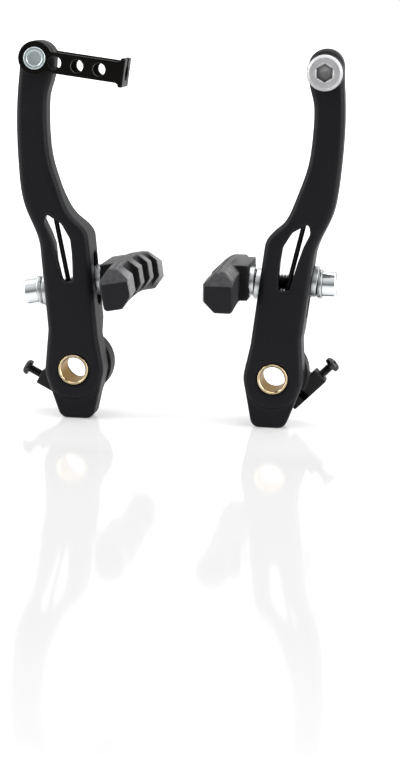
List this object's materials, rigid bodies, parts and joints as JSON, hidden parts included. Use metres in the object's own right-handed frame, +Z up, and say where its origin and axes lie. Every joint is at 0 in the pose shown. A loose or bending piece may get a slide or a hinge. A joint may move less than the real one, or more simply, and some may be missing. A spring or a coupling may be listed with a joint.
{
  "type": "bicycle linear-pull brake",
  "caption": "Pair of black linear-pull bicycle brake arms with rubber pads on threaded studs, return springs, a swinging cable link and a cable anchor bolt.",
  "frame": {"origin": "midway between the two pivot axes, on the plane of the backs of the hubs", "axes": "+Z up along the arms, +Y back towards the frame, +X to the right arm"},
  "size_m": [0.108, 0.0704, 0.124],
  "materials": {
    "arm_black": "satin black coating on forged aluminium",
    "bush_gold": "gold-coloured plated bush",
    "holder_plastic": "moulded black plastic",
    "screw_steel": "dark plated steel",
    "spring_steel": "black spring wire",
    "pad_rubber": "moulded brake rubber, dull",
    "zinc_steel": "zinc-plated steel",
    "washer_black": "black plated steel",
    "nut_silver": "bright plated steel",
    "link_black": "black painted folded steel",
    "rivet_silver": "bright steel rivet"
  },
  "bodies": {
    "mount": {"left_pivot_bush": "bush_gold", "left_spring_holder": "holder_plastic", "left_return_spring": "spring_steel", "right_pivot_bush": "bush_gold", "right_spring_holder": "holder_plastic", "right_return_spring": "spring_steel"},
    "left_arm": {"left_arm": "arm_black", "left_spring_pin": "spring_steel"},
    "right_arm": {"right_arm": "arm_black", "right_spring_pin": "spring_steel", "right_anchor_plate": "washer_black", "right_anchor_bolt": "nut_silver"},
    "cable_link": {"left_cable_link": "link_black", "left_link_pin": "rivet_silver"},
    "left_pad": {"left_brake_pad": "pad_rubber", "left_pad_stud": "zinc_steel", "left_inner_dome": "zinc_steel", "left_inner_cup": "zinc_steel", "left_outer_dome": "zinc_steel", "left_outer_cup": "zinc_steel", "left_flat_washer": "zinc_steel", "left_pad_nut": "nut_silver"},
    "right_pad": {"right_brake_pad": "pad_rubber", "right_pad_stud": "zinc_steel", "right_inner_dome": "zinc_steel", "right_inner_cup": "zinc_steel", "right_outer_dome": "zinc_steel", "right_outer_cup": "zinc_steel", "right_flat_washer": "zinc_steel", "right_pad_nut": "nut_silver"},
    "left_screw": {"left_tension_screw": "screw_steel"},
    "right_screw": {"right_tension_screw": "screw_steel"}
  },
  "joints": [
    {"name": "left_arm_pivot", "type": "hinge", "parent": "mount", "child": "left_arm", "pos_m": [-0.0331, -0.0061, 0], "axis": [0, 1, 0], "range_deg": [-20, 10], "stiffness_Nm_per_rad": 1.2, "deforming": ["left_return_spring"]},
    {"name": "left_pad_height", "type": "slide", "parent": "left_arm", "child": "left_pad", "axis": [-0.1132, 0, 0.9936], "range_m": [-0.0025, 0.0025]},
    {"name": "left_tension_screw_turn_in", "type": "slide", "parent": "mount", "child": "left_screw", "axis": [-0.891, 0, 0.454], "range_m": [-0.001, 0.0025]},
    {"name": "right_arm_pivot", "type": "hinge", "parent": "mount", "child": "right_arm", "pos_m": [0.0331, -0.0061, 0], "axis": [0, -1, 0], "range_deg": [-20, 10], "stiffness_Nm_per_rad": 1.2, "deforming": ["right_return_spring"]},
    {"name": "right_pad_height", "type": "slide", "parent": "right_arm", "child": "right_pad", "axis": [0.1132, 0, 0.9936], "range_m": [-0.0025, 0.0025]},
    {"name": "right_tension_screw_turn_in", "type": "slide", "parent": "mount", "child": "right_screw", "axis": [0.7071, 0, 0.7071], "range_m": [-0.001, 0.0025]},
    {"name": "link_swing", "type": "hinge", "parent": "left_arm", "child": "cable_link", "pos_m": [-0.047, -0.00775, 0.1018], "axis": [0, 1, 0], "range_deg": [-75, 45]}
  ]
}
